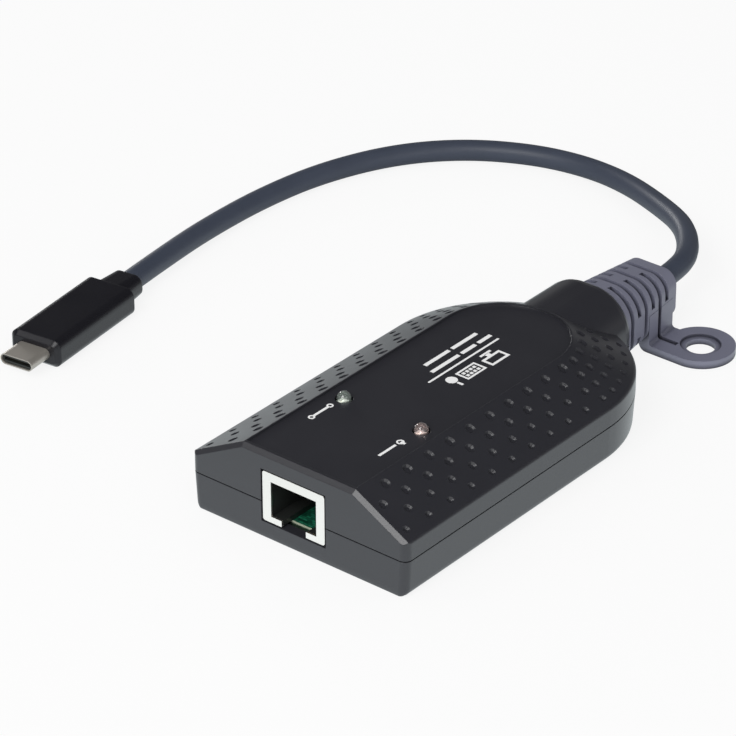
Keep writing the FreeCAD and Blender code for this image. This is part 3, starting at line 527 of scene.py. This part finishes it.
# printed marks on the panel: a rule, three device signs, rows of bars and two lamp signs
marksSet = {"height": 0.04 * mm, "floor": 19.4 * mm, "line": 0.62 * mm,
            "ruleX": -0.7 * mm, "ruleFrom": -6.5 * mm, "ruleTo": 16.8 * mm, "ruleWidth": 0.5 * mm,
            "signX": (0.7 * mm, 5.3 * mm),
            "screenY": (7.2 * mm, 13.0 * mm), "screenLift": 1.5 * mm, "stemLift": 0.5 * mm,
            "footInset": 1.2 * mm,
            "keysY": (-0.4 * mm, 5.8 * mm), "keysInset": (0.6 * mm, 0.4 * mm), "keysLine": 0.8,
            "keyFrom": (1.5 * mm, 0.95 * mm), "keyStep": 1.15 * mm, "keySize": 0.75 * mm,
            "keyRows": 2, "keysInRow": 4,
            "mouseY": -2.7 * mm, "mouseRadius": 1.3 * mm, "mouseShift": 0.7 * mm, "tailFrom": 0.8 * mm,
            "barWidth": 0.95 * mm, "barGap": 0.95 * mm,
            "barRows": [(-2.85 * mm, 16.9 * mm, (4.2 * mm, 4.6 * mm, 9.0 * mm)),
                        (-5.6 * mm, 15.6 * mm, (8.2 * mm, 8.0 * mm))],
            "ringLine": 0.6,
            "linkSign": (-10.4 * mm, -32.7 * mm, -25.4 * mm), "linkRing": 0.75 * mm,
            "powerSign": (9.5 * mm, -35.0 * mm, -27.4 * mm), "powerRing": 0.85 * mm,
            "powerBar": (0.1 * mm, 0.4 * mm), "powerBarLift": 0.01 * mm, "powerGap": 0.6 * mm,
            "ink": {"color": (0.92, 0.92, 0.92), "rough": 0.5, "drift": 0.06, "range": 0.05,
                    "grain": 2600.0, "bump": 0.1, "edge": 0.00002}}


def flatBox(x0, x1, y0, y1, z):
    bpy.ops.mesh.primitive_plane_add(size=1, location=((x0 + x1) / 2, (y0 + y1) / 2, z))
    bpy.ops.object.mode_set(mode="EDIT")
    bpy.ops.transform.resize(value=(x1 - x0, y1 - y0, 1), center_override=bpy.context.object.location)
    bpy.ops.object.mode_set(mode="OBJECT")
    return bpy.context.object


def flatDisc(x, y, radius, z, sides=28):
    bpy.ops.mesh.primitive_circle_add(vertices=sides, radius=radius, fill_type="NGON", location=(x, y, z))
    return bpy.context.object


def makeOutline(piece, line):
    # leave only a border of the given width
    bpy.ops.object.mode_set(mode="EDIT")
    bpy.ops.mesh.select_mode(type="FACE")
    bpy.ops.mesh.select_all(action="SELECT")
    bpy.ops.mesh.inset(thickness=line, depth=0)
    bpy.ops.mesh.delete(type="FACE")
    bpy.ops.object.mode_set(mode="OBJECT")
    return piece


def joinPieces(pieces, name):
    deselectAll()
    for piece in pieces:
        piece.select_set(True)
    bpy.context.view_layer.objects.active = pieces[0]
    bpy.ops.object.join()
    bpy.ops.object.transform_apply(location=True, rotation=True, scale=True)
    whole = bpy.context.object
    whole.name = name
    return whole


def raisePrint(piece, height):
    # give the flat ink its thickness
    bpy.ops.object.mode_set(mode="EDIT")
    bpy.ops.mesh.select_mode(type="FACE")
    bpy.ops.mesh.select_all(action="SELECT")
    bpy.ops.mesh.extrude_region_move(TRANSFORM_OT_translate={"value": (0, 0, height)})
    bpy.ops.mesh.select_all(action="SELECT")
    bpy.ops.mesh.normals_make_consistent(inside=False)
    bpy.ops.object.mode_set(mode="OBJECT")


def rule(s, z):
    half = s["ruleWidth"] / 2
    return [flatBox(s["ruleX"] - half, s["ruleX"] + half, s["ruleFrom"], s["ruleTo"], z)]


def screenSign(s, z):
    # a screen on its foot
    (x0, x1), (y0, y1), line = s["signX"], s["screenY"], s["line"]
    middle = (y0 + y1) / 2
    return [makeOutline(flatBox(x0 + s["screenLift"], x1, y0, y1, z), line),
            flatBox(x0 + s["stemLift"], x0 + s["screenLift"], middle - line, middle + line, z),
            flatBox(x0, x0 + line, y0 + s["footInset"], y1 - s["footInset"], z)]


def keyboardSign(s, z):
    # a frame round rows of keys
    (x0, x1), (y0, y1), (low, high) = s["signX"], s["keysY"], s["keysInset"]
    parts = [makeOutline(flatBox(x0 + low, x1 - high, y0, y1, z), s["line"] * s["keysLine"])]
    size, step = s["keySize"], s["keyStep"]
    for row in range(s["keyRows"]):
        for key in range(s["keysInRow"]):
            kx = x0 + s["keyFrom"][0] + row * step
            ky = y0 + s["keyFrom"][1] + key * step
            parts.append(flatBox(kx, kx + size, ky, ky + size, z))
    return parts


def mouseSign(s, z):
    # a mouse and its tail
    (x0, x1), y, half = s["signX"], s["mouseY"], s["line"] / 2
    middle = (x0 + x1) / 2
    return [flatDisc(middle - s["mouseShift"], y, s["mouseRadius"], z),
            flatBox(middle + s["tailFrom"], x1, y - half, y + half, z)]


def barRows(s, z):
    half, parts = s["barWidth"] / 2, []
    for x, y, lengths in s["barRows"]:
        for length in lengths:
            parts.append(flatBox(x - half, x + half, y - length, y, z))
            y -= length + s["barGap"]
    return parts


def linkSign(s, z):
    # two rings on a bar
    (x, y0, y1), r, half = s["linkSign"], s["linkRing"], s["line"] / 2
    rings = [makeOutline(flatDisc(x, y, r, z), s["line"] * s["ringLine"]) for y in (y0 + r, y1 - r)]
    return rings + [flatBox(x - half, x + half, y0 + 2 * r, y1 - 2 * r, z)]


def powerSign(s, z):
    # a ring with a bar across its top, and a rule beside it
    (x, y0, y1), r, half = s["powerSign"], s["powerRing"], s["line"] / 2
    inner, outer = s["powerBar"]
    return [makeOutline(flatDisc(x, y1 - r, r, z), s["line"] * s["ringLine"]),
            flatBox(x + inner, x + r + outer, y1 - r - half, y1 - r + half, z + s["powerBarLift"]),
            flatBox(x - half, x + half, y0, y1 - 2 * r - s["powerGap"], z)]


def makeMarks(s):
    deselectAll()
    parts = []
    for makeSign in (rule, screenSign, keyboardSign, mouseSign, barRows, linkSign, powerSign):
        parts += makeSign(s, s["floor"])
    marks = joinPieces(parts, "panelMarks")
    raisePrint(marks, s["height"])
    marks.data.materials.clear()
    marks.data.materials.append(grainMaterial("whiteInk", s["ink"]))
    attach(marks, "root")
    print("panel marks made")


makeMarks(marksSet)


# leadframe inside each lamp: an anvil with its cup, and the post beside it
leadframeSet = {"foot": 14.95 * mm, "top": 19.0 * mm,
                "anvil": (0.95 * mm, 1.5 * mm), "anvilShift": -0.35 * mm,
                "cup": 0.25 * mm, "cupDepth": 0.45 * mm, "cupTaper": 0.6,
                "post": (0.35 * mm, 0.8 * mm), "postShift": 0.85 * mm, "postLower": 0.4 * mm,
                "edge": 0.06 * mm, "edgeSteps": 2}


def makeBlock(width, length, height, place):
    # a cube drawn out to its size in edit mode
    bpy.ops.mesh.primitive_cube_add(size=1, location=place)
    block = bpy.context.object
    bpy.ops.object.mode_set(mode="EDIT")
    bpy.ops.transform.resize(value=(width, length, height), center_override=block.location)
    bpy.ops.mesh.select_all(action="DESELECT")
    bpy.ops.object.mode_set(mode="OBJECT")
    return block


def makeLeadframe(s, node, name):
    low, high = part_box(node)
    x, y = (low.x + high.x) / 2, (low.y + high.y) / 2
    height, middle = s["top"] - s["foot"], (s["foot"] + s["top"]) / 2
    deselectAll()
    anvil = makeBlock(*s["anvil"], height, (x + s["anvilShift"], y, middle))
    for face in anvil.data.polygons:        # the cup is sunk into the top face
        face.select = face.normal.z > 0.9
    bpy.ops.object.mode_set(mode="EDIT")
    bpy.ops.mesh.select_mode(type="FACE")
    bpy.ops.mesh.inset(thickness=s["cup"], depth=0)
    bpy.ops.mesh.extrude_region_move(TRANSFORM_OT_translate={"value": (0, 0, -s["cupDepth"])})
    bpy.ops.transform.resize(value=(s["cupTaper"], s["cupTaper"], 1))
    bpy.ops.object.mode_set(mode="OBJECT")
    post = makeBlock(*s["post"], height - s["postLower"],
                     (x + s["postShift"], y, middle - s["postLower"] / 2))
    frameMesh = joinPieces([anvil, post], name)
    edge = frameMesh.modifiers.new("softEdges", "BEVEL")
    edge.width = s["edge"]
    edge.segments = s["edgeSteps"]
    bpy.ops.object.modifier_apply(modifier=edge.name)
    frameMesh.data.materials.clear()
    frameMesh.data.materials.append(finishes["tinPlate"])
    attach(frameMesh, "root")


makeLeadframe(leadframeSet, "link_led", "linkLampFrame")
makeLeadframe(leadframeSet, "power_led", "powerLampFrame")
print("lamp frames made")
